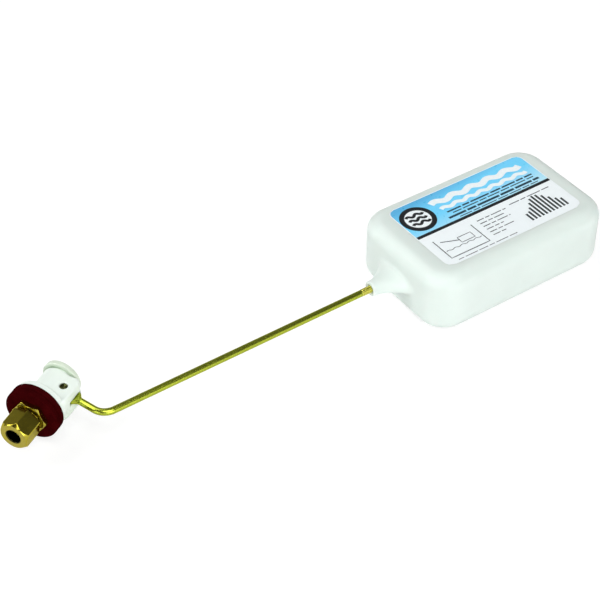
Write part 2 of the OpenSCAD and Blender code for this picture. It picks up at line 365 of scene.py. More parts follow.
def settle(vertices, field):
    """Moves vertices a little along the field's slope, towards its zero surface."""
    probe, limit = 0.02, 0.1
    value = field(vertices)
    slope = np.stack([(field(vertices + way) - value) / probe for way in probe * np.eye(3)], -1)
    move = value[:, None] * slope / np.maximum((slope**2).sum(-1), 0.25)[:, None]
    return vertices - np.clip(move, -limit, limit)


def turned(name, outline, shape=None, sides=96, axis=X, across=Y, centre=(0, 0, 0), crowd=0.0):
    """Closed ring-shaped mesh: an outline of (along, radius) points turned about an axis.

    The outline runs round the section once. shape(turn, along, radius) may change the radius,
    which cuts flats or a thread. crowd, up to 0.9, draws the sides together at six corners.
    """
    third = axis.cross(across)
    centre = Vector(centre)
    vertices, faces = [], []
    for along, radius in outline:
        for k in range(sides):
            turn = 2 * math.pi * k / sides
            turn += crowd * math.sin(6 * turn) / 6
            r = shape(turn, along, radius) if shape else radius
            spoke = math.cos(turn) * across + math.sin(turn) * third
            vertices.append(centre + along * axis + r * spoke)
    rings = len(outline)
    for i in range(rings):
        for k in range(sides):
            a, b = i * sides + k, i * sides + (k + 1) % sides
            j = (i + 1) % rings
            c, d = j * sides + (k + 1) % sides, j * sides + k
            faces.append((a, d, c, b))
    return tidied(new_piece(name, vertices, faces))


def heading(points, i):
    """Direction of a line of points at one of them."""
    return (points[min(i + 1, len(points) - 1)] - points[max(i - 1, 0)]).normalized()


def swept(name, centres, radius, sides=40):
    """Closed round bar along points in the arm's plane. radius(index, turn) gives its surface."""
    vertices, faces = [], []
    for i, centre in enumerate(centres):
        side = Z.cross(heading(centres, i))
        for k in range(sides):
            turn = 2 * math.pi * k / sides
            spoke = math.cos(turn) * side + math.sin(turn) * Z
            vertices.append(centre + radius(i, turn) * spoke)
    for i in range(len(centres) - 1):
        for k in range(sides):
            a, b = i * sides + k, i * sides + (k + 1) % sides
            faces.append((a, b, b + sides, a + sides))
    faces.append(range(sides))
    faces.append(range(len(vertices) - 1, len(vertices) - sides - 1, -1))
    return tidied(new_piece(name, vertices, faces))


def tidied(piece):
    """The piece with its doubled points merged and its faces turned outwards."""
    mesh = bmesh.new()
    mesh.from_mesh(piece.data)
    bmesh.ops.remove_doubles(mesh, verts=mesh.verts, dist=1e-7)
    bmesh.ops.dissolve_degenerate(mesh, edges=mesh.edges, dist=1e-8)
    bmesh.ops.recalc_face_normals(mesh, faces=mesh.faces)
    mesh.to_mesh(piece.data)
    mesh.free()
    return piece


def eased(points, radius, steps=4):
    """An open outline with each inner corner rounded by an arc-like curve of about that size."""
    rounded = [points[0]]
    for corner in zip(points, points[1:], points[2:]):
        a, p, b = (Vector(v) for v in corner)
        reach = min(radius, (a - p).length * 0.45, (b - p).length * 0.45)
        start, end = (p + (q - p).normalized() * reach for q in (a, b))
        for k in range(steps + 1):
            t = k / steps
            rounded.append(tuple((1 - t) ** 2 * start + 2 * t * (1 - t) * p + t * t * end))
    return rounded + [points[-1]]


def divided(points, step):
    """The same open outline with extra points, so that none lie further apart than a step."""
    fine = [points[0]]
    for a, b in zip(points, points[1:]):
        n = max(1, math.ceil(math.dist(a, b) / step))
        fine += [tuple(p + (q - p) * k / n for p, q in zip(a, b)) for k in range(1, n + 1)]
    return fine


def thread_depth(along, turn, pitch, depth, start, end):
    """How far a 60 degree thread cuts below its crest, fading out at both of its ends."""
    phase = (along / pitch - turn / (2 * math.pi)) % 1
    groove = max(0, min(1, 1.25 - 5 * abs(phase - 0.5)))
    fade = max(0, min(1, min(along - start, end - along) / pitch))
    return depth * groove * fade


# ---- material helpers

# a Mix node of colours: its inputs are 0, the share, then 6 and 7, and its output is 2
RGBA = {"data_type": "RGBA"}


def add(tree, kind, settings=None, links=None):
    """Adds a shader node. Lower-case settings are its own, the others and the links are inputs."""
    made = tree.nodes.new("ShaderNode" + kind)
    for key, value in (settings or {}).items():
        if isinstance(key, str) and key[0].islower():
            setattr(made, key, value)
        else:
            made.inputs[key].default_value = value
    for key, socket in (links or {}).items():
        tree.links.new(socket, made.inputs[key])
    return made


def per_mm(size_mm):
    """Texture scale at which one feature of a pattern is that many millimetres."""
    return 1 / (size_mm * MM)


def cleared_tree(owner):
    """The node tree of a material or a world, emptied."""
    owner.use_nodes = True
    owner.node_tree.nodes.clear()
    return owner.node_tree


def new_material(name, settings):
    """A material with one Principled shader, and its tree, shader and object coordinates."""
    material = bpy.data.materials.new(name)
    tree = cleared_tree(material)
    shader = add(tree, "BsdfPrincipled", settings)
    add(tree, "OutputMaterial", links={"Surface": shader.outputs[0]})
    place = add(tree, "TexCoord").outputs["Object"]
    return material, tree, shader, place


def mottle(tree, place, size_mm, low, high, detail=3.0):
    """Soft noise of that feature size, stretched to run from low to high."""
    noise = add(tree, "TexNoise", {"Scale": per_mm(size_mm), "Detail": detail}, {"Vector": place})
    span = {"From Min": 0.3, "From Max": 0.7, "To Min": low, "To Max": high}
    return add(tree, "MapRange", span, {"Value": noise.outputs[0]}).outputs[0]


def shade(colour, factor):
    """The same colour, lighter or darker by a factor."""
    return [min(1.0, c * factor) for c in colour[:3]] + [1.0]


def patchy(name, settings, size_mm, first, second, rough=None, relief=None):
    """A material in soft patches of two tones.

    rough is (size, low, high) of its mottled roughness, and relief is (size, depth, detail) of
    its bump, both with sizes in mm.
    """
    material, tree, shader, place = new_material(name, settings)
    share = mottle(tree, place, size_mm, 0, 1)
    tone = add(tree, "Mix", {**RGBA, 6: first, 7: second}, {0: share})
    tree.links.new(tone.outputs[2], shader.inputs["Base Color"])
    if rough:
        tree.links.new(mottle(tree, place, *rough), shader.inputs["Roughness"])
    if relief:
        grain_mm, depth_mm, detail = relief
        height = mottle(tree, place, grain_mm, 0, 1, detail)
        bump = add(tree, "Bump", {"Distance": depth_mm * MM}, {"Height": height})
        tree.links.new(bump.outputs[0], shader.inputs["Normal"])
    return material


# ---- finishes


def moulded_acetal(name, colour):
    """Acetal, injection moulded: dense white and satin, with a green bloom in its recesses."""
    white = chosen(colour)
    glow = {"Subsurface Weight": 0.15, "Subsurface Scale": 1.2 * MM}
    settings = {"Roughness": 0.38, "IOR": 1.48, "Subsurface Radius": (1.0, 1.0, 0.9), **glow}
    material, tree, shader, place = new_material(name, settings)
    cloud = mottle(tree, place, 6, 0, 1)
    clean = add(tree, "Mix", {**RGBA, 6: shade(white, 0.97), 7: white}, {0: cloud})
    recess = add(tree, "AmbientOcclusion", {"Distance": 2.6 * MM, "samples": 12})
    side = add(tree, "SeparateXYZ", links={0: place})
    # painted shade: closed corners darken to green-grey, more so towards +Y, and a little towards
    # the floor
    spans = (
        (recess.outputs["AO"], {"From Min": 0.8, "From Max": 0.4}),
        (side.outputs[1], {"From Min": -3 * MM, "From Max": 7 * MM, "To Min": 0.2}),
        (side.outputs[2], {"From Min": 1 * MM, "From Max": -6 * MM, "To Max": 0.4}),
    )
    causes = [add(tree, "MapRange", span, {"Value": value}).outputs[0] for value, span in spans]
    added = {"operation": "MULTIPLY_ADD", "use_clamp": True}
    share = add(tree, "Math", added, dict(enumerate(causes)))
    shade_inputs = {0: share.outputs[0], 6: clean.outputs[2]}
    # the painted shade is mixed into the white here
    with_painted_shade = add(tree, "Mix", {**RGBA, 7: chosen("acetal_shade_tint")}, shade_inputs)
    tree.links.new(with_painted_shade.outputs[2], shader.inputs["Base Color"])
    flow = mottle(tree, place, 1.6, 0, 1, 2.0)
    bump = add(tree, "Bump", {"Distance": 0.008 * MM}, {"Height": flow})
    tree.links.new(bump.outputs[0], shader.inputs["Normal"])
    return material


def brass(name, colour, facing_tone, roughness, marks, depth):
    """Brass under a thin film of oil. Its tarnish, roughness and tool marks vary over it.

    Faces cut square to the inlet have the fresh colour, and the tube's bore is dark. marks is
    the size in mm of one tool mark along X, Y and Z, and depth is how deep they are.
    """
    colour, facing_tone = chosen(colour), chosen(facing_tone)
    film = {"Coat Weight": 0.3, "Coat Roughness": 0.12, "Coat IOR": 1.45}
    settings = {"Metallic": 1.0, "Specular Tint": linear("#f0e6a0"), **film}
    material, tree, shader, place = new_material(name, settings)
    patch = mottle(tree, place, 2.6, 0, 1)
    facing = add(tree, "SeparateXYZ", links={0: add(tree, "TexCoord").outputs["Normal"]})
    # partly painted reflection: faces turned towards -X take the facing tone, on top of the cut
    # metal
    cut = add(tree, "MapRange", {"From Min": -0.7, "From Max": -0.95}, {"Value": facing.outputs[0]})
    bare = add(tree, "Mix", {**RGBA, 6: colour, 7: facing_tone}, {0: cut.outputs[0]})
    worn = {0: patch, 6: bare.outputs[2]}
    clean = add(tree, "Mix", {**RGBA, 7: shade(colour, 0.9)}, worn)
    flat = add(tree, "VectorMath", {"operation": "MULTIPLY", 1: (0, 1, 1)}, {0: place})
    radius = add(tree, "VectorMath", {"operation": "LENGTH"}, {0: flat.outputs[0]})
    # painted shade: within the tube's radius, the bore's metal is painted almost black
    inside = {"From Min": (TUBE_R + 0.5) * MM, "From Max": (TUBE_R + 0.35) * MM}
    bore = add(tree, "MapRange", inside, {"Value": radius.outputs["Value"]})
    bore_shade_inputs = {0: bore.outputs[0], 6: clean.outputs[2]}
    bore_painted_shade = add(tree, "Mix", {**RGBA, 7: shade(colour, 0.06)}, bore_shade_inputs)
    tree.links.new(bore_painted_shade.outputs[2], shader.inputs["Base Color"])
    tree.links.new(mottle(tree, place, 1.3, *roughness), shader.inputs["Roughness"])
    scale = add(tree, "Mapping", {"Scale": tuple(per_mm(m) for m in marks)}, {"Vector": place})
    lines = add(tree, "TexNoise", {"Scale": 1.0, "Detail": 2.0}, {"Vector": scale.outputs[0]})
    bump = add(tree, "Bump", {"Distance": depth * MM}, {"Height": lines.outputs[0]})
    tree.links.new(bump.outputs[0], shader.inputs["Normal"])
    return material


def turned_brass():
    """Free-cutting brass, milled and turned from bar: yellow metal with a thin dull film."""
    return brass("turned_brass", "brass_bar", "brass_front_face", (0.14, 0.24), (1.2, 5, 5), 0.003)


def drawn_brass():
    """Brass rod, drawn through a die: faint streaks and an even olive bloom."""
    return brass("drawn_brass", "brass_rod", "brass_rod", (0.25, 0.29), (9, 9, 9), 0.0003)


def cut_brass():
    """The rod's thread: brass cut by a die, its flanks brighter and yellower than the rod."""
    return brass("cut_brass", "brass_thread", "brass_thread", (0.2, 0.28), (9, 9, 9), 0.0003)


def tarnished_brass():
    """The pin: the same drawn rod, its ends browned almost black by standing in a wet hole."""
    return brass("tarnished_brass", "brass_pin", "brass_pin", (0.2, 0.3), (3, 3, 3), 0.002)


def gasket_rubber():
    """Rubber, moulded flat: dark red, dry and almost without shine."""
    red, settings = chosen("gasket"), {"IOR": 1.5, "Specular IOR Level": 0.0}
    dark, light, rough = shade(red, 0.72), shade(red, 1.25), (1.5, 0.6, 0.75)
    return patchy("gasket_rubber", settings, 5, dark, light, rough, (0.7, 0.02, 3.0))


def washer_rubber():
    """Nitrile rubber, punched from sheet: black and matt."""
    dark, light = linear("#131414"), linear("#222323")
    return patchy("washer_rubber", {"IOR": 1.52}, 0.5, dark, light, (0.8, 0.55, 0.7))


def milky_polyethylene():
    """Polyethylene, blow moulded: milky, lit from within, with a slightly greasy satin skin."""
    milk = chosen("polyethylene")
    glow = {"Subsurface Weight": 0.7, "Subsurface Scale": 3 * MM}
    settings = {"Roughness": 0.45, "IOR": 1.5, "Specular IOR Level": 0.3, **glow}
    settings["Subsurface Radius"] = (0.9, 1.0, 1.0)
    relief = (3.5, 0.02, 2.0)
    return patchy("milky_polyethylene", settings, 14, shade(milk, 0.97), milk, relief=relief)


def film_base():
    """Vinyl film under the print: clean white with a soft gloss."""
    white = chosen("film_white")
    return patchy("film_base", {"Roughness": 0.3, "IOR": 1.5}, 3, shade(white, 0.98), white)


def blue_print():
    """Blue ink on vinyl, printed in one pass: sky blue that pales towards the black stripe."""
    material, tree, shader, place = new_material("blue_print", {"Roughness": 0.3, "IOR": 1.5})
    slant = ACROSS - 0.12 * REACH
    height = add(tree, "VectorMath", {"operation": "DOT_PRODUCT", 1: slant}, {0: place})
    middle = FLOAT_MID.dot(slant)
    span = {"From Min": (middle - 2) * MM, "From Max": (middle + 26) * MM}
    share = add(tree, "MapRange", span, {"Value": height.outputs["Value"]})
    ramp = add(tree, "ValToRGB", links={0: share.outputs[0]})
    stops = ((0.0, "film_pale"), (0.5, "film_blue"), (0.72, "film_blue"), (1.0, "film_deep"))
    while len(ramp.color_ramp.elements) < len(stops):
        ramp.color_ramp.elements.new(0.5)
    for stop, (position, ink) in zip(ramp.color_ramp.elements, stops):
        stop.position, stop.color = position, chosen(ink)
    tree.links.new(ramp.outputs[0], shader.inputs["Base Color"])
    tree.links.new(mottle(tree, place, 2, 0.26, 0.34), shader.inputs["Roughness"])
    return material


def plain_ink(name, colour):
    """One printed ink: even colour with the film's soft gloss."""
    ink = chosen(colour)
    return patchy(name, {"Roughness": 0.32, "IOR": 1.5}, 1.2, shade(ink, 0.93), ink)


# ---- valve body


def body_field(p):
    """Drum, flange and lever boss of the valve body, with its bore, slot and pin hole."""
    sizes = bpy.context.scene.float_valve_sizes
    blend = sizes.mould_round
    # the boss starts inside the flange and ends just short of the drum
    near, far = 1, BODY_END - 0.8
    drum = rod_field(p, (near, 0, 0), (BODY_END, 0, 0), DRUM_R, blend)
    flange = rod_field(p, (0, 0, 0), (FLANGE_T, 0, 0), FLANGE_R, blend)
    middle = ((near + far) / 2, (BOSS_TOP + BOSS_FOOT) / 2, 0)
    half = ((far - near) / 2, (BOSS_TOP - BOSS_FOOT) / 2, BOSS_HALF)
    boss = block_field(p, middle, half, BOSS_CORNER, BOSS_EDGE)
    solid = lower(lower(drum, boss, sizes.boss_fillet), flange, sizes.flange_fillet)
    bore = rod_field(p, (FLOOR_X, 0, 0), (BODY_END + 3, 0, 0), BORE_R, 0.3)
    spigot = rod_field(p, (-2, 0, 0), (FLOOR_X + 1, 0, 0), SPIGOT_R, 0.1)
    slot = block_field(p, SLOT_MIDDLE, SLOT_HALF, 0.3, 0.1)
    pin_hole = rod_field(p, (PIVOT.x, PIVOT.y, -9), (PIVOT.x, PIVOT.y, 9), PIN_R + PIN_GAP, 0.1)
    # a shallow groove sets the cap off from the drum
    groove = rod_field(p, (BODY_END - CAP_GROOVE, 0, 0), (BODY_END + 1, 0, 0), DRUM_R + 3, 0.1)
    groove = higher(groove, DRUM_R - 0.7 - np.hypot(p[..., 1], p[..., 2]), 0.2)
    for hollow in (bore, spigot, slot, pin_hole, groove):
        solid = higher(solid, -hollow, 0.3)
    return solid


class FLOATVALVE_OT_body(bpy.types.Operator):
    """Moulded valve body and its end cap"""

    bl_idname = "float_valve.body"
    bl_label = "Body and end cap"

    def execute(self, context):
        acetal = moulded_acetal("moulded_acetal", "acetal")
        step = 0.24
        spans = ((0, BODY_END), (BOSS_FOOT, FLANGE_R), (-FLANGE_R, FLANGE_R))
        axes = [grid_line((low - 2 * step, high + 2.5 * step, step)) for low, high in spans]
        body = skin("body_moulding", body_field, axes)
        finish_piece(body, "valve", acetal, ["valve_body"])
        disc = [
            (BODY_END, 0.01),
            (BODY_END, CAP_R),
            (CAP_END, CAP_R),
            (CAP_END, CAP_R - CAP_RIM),
            (CAP_END - CAP_DISH, CAP_R - CAP_RIM - 0.2),
            (CAP_END - CAP_DISH, 0.01),
        ]
        # the cap takes a darker, greener white than the body, with the same painted shade in its
        # recesses
        with_painted_shade = moulded_acetal("aged_acetal", "acetal_cap")
        cap = turned("end_cap_moulding", eased(disc, 0.5))
        finish_piece(cap, "valve", with_painted_shade, ["end_cap"])
        return {"FINISHED"}


# ---- brass inlet


def hexagon(flats):
    """Shape for turned() that cuts a bar down to a hexagon, its long edges almost sharp."""

    def cut(turn, along, radius):
        offset = (turn + math.pi / 6) % (math.pi / 3) - math.pi / 6
        flat = flats / 2 / math.cos(math.pi / 6 - abs(offset))
        return float(lower(radius, flat, NUT_EDGE)) if radius > flats / 2 - 1 else radius

    return cut


def nut(name, flats, spin, bore, chamfers):
    """Hexagon nut round a bore of (along, radius) points, which run from its back to its front.

    chamfers holds (depth, run) in mm for the front and for the back.
    """
    corner = flats / 2 / math.cos(math.pi / 6)
    front, back = bore[-1][0], bore[0][0]
    (front_depth, front_run), (back_depth, back_run) = chamfers
    step, edge = 0.08, 0.12
    crown = divided([(front, corner - front_depth), (front + front_run, corner)], step)
    foot = divided([(back - back_run, corner), (back, corner - back_depth)], step)
    outline = eased([bore[-1], *crown, *foot, bore[0]], edge, 3)[1:-1]
    across = Matrix.Rotation(math.radians(spin), 3, "X") @ -Z
    return turned(name, [*bore, *outline], hexagon(flats), 192, across=across, crowd=0.8)


def stem():
    """Threaded stem with the sleeve's cone at its mouth, and the jet and its seat behind."""
    pitch = bpy.context.scene.float_valve_sizes.stem_pitch
    mouth_r, mouth_l, cone_l, front_edge, foot_edge = 4.1, 1.8, 2.4, 0.6, 0.1
    jet_r, way_r, seat_r, seat_foot_r = 0.9, 2.2, 1.8, 3.2
    collar_r, collar_end = SPIGOT_R + 0.9, FLOOR_X + 0.5
    crest = divided([(STEM_FRONT + front_edge, STEM_R), (-foot_edge, STEM_R)], pitch / 12)
    outline = [
        (STEM_FRONT, mouth_r),
        (STEM_FRONT, STEM_R - front_edge),
        *crest,
        (0, STEM_R - foot_edge),
        (0, SPIGOT_R),
        (FLOOR_X, SPIGOT_R),
        (FLOOR_X, collar_r),
        (collar_end, collar_r),
        (collar_end, seat_foot_r),
        (SEAT_X, seat_r),
        (SEAT_X, jet_r),
        (0, jet_r),
        (0, way_r),
        (TUBE_STOP, way_r),
        (TUBE_STOP, TUBE_R),
        (STEM_FRONT + mouth_l + cone_l, TUBE_R),
        (STEM_FRONT + mouth_l, mouth_r),
    ]

    def threaded(turn, along, radius):
        if radius < STEM_R - 0.05:
            return radius
        return radius - thread_depth(along, turn, pitch, STEM_THREAD, crest[0][0], crest[-1][0])

    return turned("inlet_stem_turned", outline, threaded, 72)


class FLOATVALVE_OT_inlet(bpy.types.Operator):
    """Threaded stem, compression nut and sleeve, and lock nut"""

    bl_idname = "float_valve.inlet"
    bl_label = "Brass inlet"

    def execute(self, context):
        metal = turned_brass()
        inside = STEM_R + THREAD_GAP
        # the tube's way in, measured from the nut's front face
        mouth = [(2, TUBE_R), (TUBE_LEAD, TUBE_R), (0, TUBE_R + TUBE_LEAD)]
        bore = [
            (NUT_BACK, inside),
            (SLEEVE_SHOULDER, inside),
            (SLEEVE_SHOULDER, TUBE_R),
            *eased([(NUT_FRONT + along, radius) for along, radius in mouth], 0.5),
        ]
        hole = [(LOCK_BACK, inside), (LOCK_FRONT, inside)]
        for node, slot, *shape in (
            ("compression_nut", "nut_brass", NUT_FLATS, NUT_SPIN, bore, ((1.25, 1.7), (0.5, 0.3))),
            ("lock_nut", "stem_brass", LOCK_FLATS, LOCK_SPIN, hole, ((1.0, 0.6), (0.3, 0.2))),
        ):
            finish_piece(nut(node + "_turned", *shape), "valve", metal, [node])
        finish_piece(stem(), "valve", metal, ["inlet_stem"])
        dress(frame["nodes"]["compression_sleeve"], metal)
        return {"FINISHED"}


class FLOATVALVE_OT_gaskets(bpy.types.Operator):
    """Two red gaskets"""

    bl_idname = "float_valve.gaskets"
    bl_label = "Gaskets"

    def execute(self, context):
        rubber = gasket_rubber()
        for node in ("outer_gasket", "inner_gasket"):
            low, high = box_mm(node)
            inner, outer = STEM_R + THREAD_GAP, high[1]
            ring = [
                (high[0], inner),
                (low[0], inner),
                (low[0], outer - 0.1),
                ((low[0] + high[0]) / 2, outer),
                (high[0], outer - 0.1),
                (high[0], inner),
            ]
            piece = turned(node + "_ring", eased(ring, 0.4)[1:], sides=144)
            finish_piece(piece, "valve", rubber, [node])
        return {"FINISHED"}


class FLOATVALVE_OT_plunger(bpy.types.Operator):
    """Pivot pin, plunger and its washer"""

    bl_idname = "float_valve.plunger"
    bl_label = "Pin, plunger and washer"

    def execute(self, context):
        # each end falls in a little towards its middle, behind a broken rim
        side = [(PIN_HALF - PIN_DISH, PIN_R)]
        for k in range(1, 9):
            share = k / 8
            side.append((PIN_HALF - PIN_DISH * share**2, max(PIN_R * (1 - share), 0.01)))
        outline = side[::-1] + [(-along, radius) for along, radius in side]
        pin = turned("pivot_pin_drawn", outline, axis=Z, across=X, centre=(PIVOT.x, PIVOT.y, 0))
        finish_piece(pin, "valve", tarnished_brass(), ["pivot_pin"])
        dress(frame["nodes"]["plunger"], bpy.data.materials["moulded_acetal"])
        dress(frame["nodes"]["seat_washer"], washer_rubber())
        return {"FINISHED"}


# ---- arm


def spade_field(p):
    """Forged end of the arm: tongue, eye round the pin, and the blade that runs into the rod."""
    out, from_pin, tongue = p - np.array(SHANK_START), p - np.array(PIVOT), np.array(TONGUE)
    along = out @ np.array(SHANK)
    beside = out @ np.array(Z.cross(SHANK))
    share = np.clip((along - SPADE_FULL - SPADE_LATE) / (SPADE_END - SPADE_FULL), 0, 1)
    share = share * share * (3 - 2 * share)
    half_w = SPADE_HALF_W + (ROD_R - SPADE_HALF_W) * share
    half_t = SPADE_HALF_T + (ROD_R - SPADE_HALF_T) * share
    power = 5 - 3 * share
    oval = np.abs(beside / half_w) ** power + np.abs(p[..., 2] / half_t) ** power
    blade = (oval ** (1 / power) - 1) * np.minimum(half_w, half_t)
    blade = higher(blade, np.maximum(-SPADE_IN_EYE - along, along - SPADE_END - SPADE_IN_ROD), 0.1)
    flat = np.abs(p[..., 2]) - SPADE_HALF_T
    radial = np.linalg.norm(from_pin[..., :2], axis=-1)
    eye = higher(radial - SPADE_HALF_W - 0.1, flat, 0.3)
    tip = PIVOT - PIVOT.y * TONGUE
    up = np.clip(from_pin @ tongue, 0, -PIVOT.y)[..., None]
    nearest = np.array(PIVOT) + up * tongue
    waist = higher(np.linalg.norm((p - nearest)[..., :2], axis=-1) - TONGUE_WAIST_R, flat, 0.3)
    ball = np.linalg.norm((p - np.array(tip))[..., :2], axis=-1) - TONGUE_TIP_R
    ball = higher(ball, flat, 0.3)
    solid = lower(lower(blade, eye, 0.6), lower(waist, ball, 0.6), 0.8)
    return higher(solid, PIN_R + PIN_GAP - radial, 0.1)


def arm_path():
    """Points down the shank and round the bend, to where the long stretch starts."""
    cut = BEND_R * math.tan(math.radians(BEND_TURN / 2))
    centre = BEND - cut * SHANK + BEND_R * Z.cross(SHANK)
    first = math.atan2(SHANK.y, SHANK.x)
    points = [SHANK_START + s * SHANK for s in (SPADE_END + 0.6, SPADE_END + 2, SHANK_L - cut)]
    for k in range(1, 25):
        turn = first + math.radians(BEND_TURN) * k / 24
        points.append(centre + BEND_R * Vector((math.sin(turn), -math.cos(turn), 0)))
    return points


class FLOATVALVE_OT_arm(bpy.types.Operator):
    """Bent brass arm"""

    bl_idname = "float_valve.arm"
    bl_label = "Arm"

    def execute(self, context):
        metal = drawn_brass()
        pitch = context.scene.float_valve_sizes.arm_pitch
        start, length = NECK_TIP - THREAD_BARE * ROD, THREAD_BARE + THREAD_HIDDEN
        points = [start + k * pitch / 10 * ROD for k in range(int(10 * length / pitch))]

        def surface(index, turn):
            along = (points[index] - start).length
            rise = ARM_THREAD_RISE * min(along / pitch, 1)
            return ROD_R + rise - thread_depth(along, turn, pitch, ARM_THREAD, 0, length)

        # the extra ring keeps the flat end's shading off the long stretch
        bare = [*arm_path(), start - 0.2 * ROD, start]
        rod = swept("arm_rod", bare, lambda index, turn: ROD_R)
        # the thread is a mesh of its own, because its finish differs from the rod's
        thread = swept("arm_thread", points, surface)
        step = 0.2
        foot = SHANK_START + (SPADE_END + 1.3) * SHANK
        axes = [
            grid_line((foot.x - 3.6, PIVOT.x + 5, step)),
            grid_line((foot.y - 1, 3, step)),
            grid_line((-2, 2, step)),
        ]
        spade = skin("arm_spade", spade_field, axes)
        for piece, finish in ((rod, metal), (thread, cut_brass()), (spade, metal)):
            finish_piece(piece, "arm", finish, ["float_arm"])
        return {"FINISHED"}


# ---- float and sticker


def top_height(x, y):
    """Height of the float's upper face, which sinks a little in its middle."""
    sag = bpy.context.scene.float_valve_sizes.sag
    dip = np.clip(1 - (x / FLOAT_HALF[0]) ** 2, 0, 1) * np.clip(1 - (y / FLOAT_HALF[1]) ** 2, 0, 1)
    return FLOAT_HALF[2] - sag * dip


def float_field(p):
    """Blow-moulded box with soft edges and a neck that opens into its end face."""
    x, y, z = p[..., 0], p[..., 1], p[..., 2]
    sag = FLOAT_HALF[2] - top_height(x, y)
    lifted = np.stack([x, y + np.sign(y) * sag * SIDE_SAG, np.where(z > 0, z + sag, z)], -1)
    box = block_field(lifted, (0, 0, 0), FLOAT_HALF, FLOAT_CORNER, FLOAT_EDGE)
    share = np.clip((x + FLOAT_HALF[0] + FLARE_L) / (FLARE_L + 1), 0, 1)
    half_y, half_z = (
        NECK_R + (foot - NECK_R) * share**power for foot, power in zip(FLARE_FOOT, FLARE_POWER)
    )
    oval = np.sqrt((y / half_y) ** 2 + (z / half_z) ** 2)
    neck = (oval - 1) * np.minimum(half_y, half_z)
    tip = -(x + FLOAT_HALF[0] + NECK_L)
    mouth = ROD_R + MOUTH_GAP - np.hypot(y, z) + MOUTH_SLOPE * tip
    neck = higher(higher(higher(neck, tip, 0.6), x + FLOAT_HALF[0] - 1, 0.1), mouth, 0.2)
    return lower(box, neck, NECK_FILLET)


def on_float(points):
    """Points in the float's own lengths, put where the float is."""
    return np.asarray(points) @ np.array([REACH, ACROSS, Z]) + np.array(FLOAT_MID)


class FLOATVALVE_OT_float(bpy.types.Operator):
    """Hollow float"""

    bl_idname = "float_valve.float"
    bl_label = "Float"

    def execute(self, context):
        end, side, top = FLOAT_HALF
        fine, broad = 0.3, 1.0
        # the grid is fine round the neck, and as far as its flare reaches over the end face
        into, beside, above = 5, 9.75, 7.5
        axes = [grid_line((-end - NECK_L - 1, into - end, fine), (into - end, end + 2, broad))]
        for half, near in ((side, beside), (top, above)):
            flank = (-half - 2, -near, broad)
            axes.append(grid_line(flank, (-near, near, fine), (near, half + 2, broad)))
        shell = skin("float_moulding", float_field, axes, on_float)
        finish_piece(shell, "arm", milky_polyethylene(), ["float_shell"])
        return {"FINISHED"}


def draped(name, sheets, lift, material, thickness=0.014):
    """Thin closed sheets that far above the float's face, from equal rows of (x, y) points."""
    vertices, faces = [], []
    for rows in sheets:
        columns, base = len(rows[0]), sum(len(layer) for layer in vertices)
        flat = np.array(rows, float).reshape(-1, 2)
        height = top_height(flat[:, 0], flat[:, 1]) + lift
        vertices += [np.column_stack([flat, height - drop]) for drop in (0, thickness)]
        n = len(flat)
        for i in range(len(rows) - 1):
            for j in range(columns - 1):
                a = base + i * columns + j
                quad = (a, a + 1, a + columns + 1, a + columns)
                faces += [quad, tuple(n + v for v in quad[::-1])]
        rim = list(range(columns))
        rim += [i * columns + columns - 1 for i in range(1, len(rows))]
        rim += [n - 1 - j for j in range(1, columns)]
        rim += [i * columns for i in range(len(rows) - 2, 0, -1)]
        for a, b in zip(rim, rim[1:] + rim[:1]):
            faces.append((base + b, base + a, base + n + a, base + n + b))
    piece = tidied(new_piece(name, on_float(np.concatenate(vertices)), faces, smooth=False))
    return finish_piece(piece, "arm", material)


def sheet_rows(low, high, margin=0.0):
    """Rows of points over the sticker from height low to high, inside its rounded outline."""
    half_l, half_w = STICKER_L / 2 - margin, STICKER_W / 2 - margin
    corner = STICKER_R - margin
    rows = []
    for y in np.linspace(low, high, 33):
        into = max(abs(y) - (half_w - corner), 0)
        end = half_l - corner + math.sqrt(max(corner**2 - into**2, 0))
        rows.append([(STICKER_MID[0] + x, STICKER_MID[1] + y) for x in np.linspace(-end, end, 41)])
    return rows


def ribbon_rows(points, width):
    """Two rows of points on both sides of a line, for a printed stroke of that width."""
    points = [Vector(p) for p in points]
    rows = ([], [])
    for i, point in enumerate(points):
        along = heading(points, i)
        side = Vector((-along.y, along.x)) * width / 2
        rows[0].append(tuple(point - side))
        rows[1].append(tuple(point + side))
    return rows


def disc_rows(middle, radius):
    """Rows of points over a printed disc."""
    rows = []
    for k in range(25):
        turn = math.pi * k / 24
        y, end = -radius * math.cos(turn), max(radius * math.sin(turn), 0.01)
        rows.append([(middle[0] + x, middle[1] + y) for x in np.linspace(-end, end, 9)])
    return rows


def wave(start, end, y, height, length):
    """Points along a wavy line."""
    return [
        (x, y + height * math.sin(2 * math.pi * (x - start) / length))
        for x in np.linspace(start, end, int((end - start) * 2) + 1)
    ]


def broken(start, end, y, width, lengths):
    """Strokes of a rule that is broken into dashes, the lengths used in turn."""
    strokes, x, k = [], start, 0
    while x < end:
        stop = min(x + lengths[k % len(lengths)], end)
        strokes.append((((x, y), (stop, y)), width))
        x, k = stop + 0.9, k + 1
    return strokes


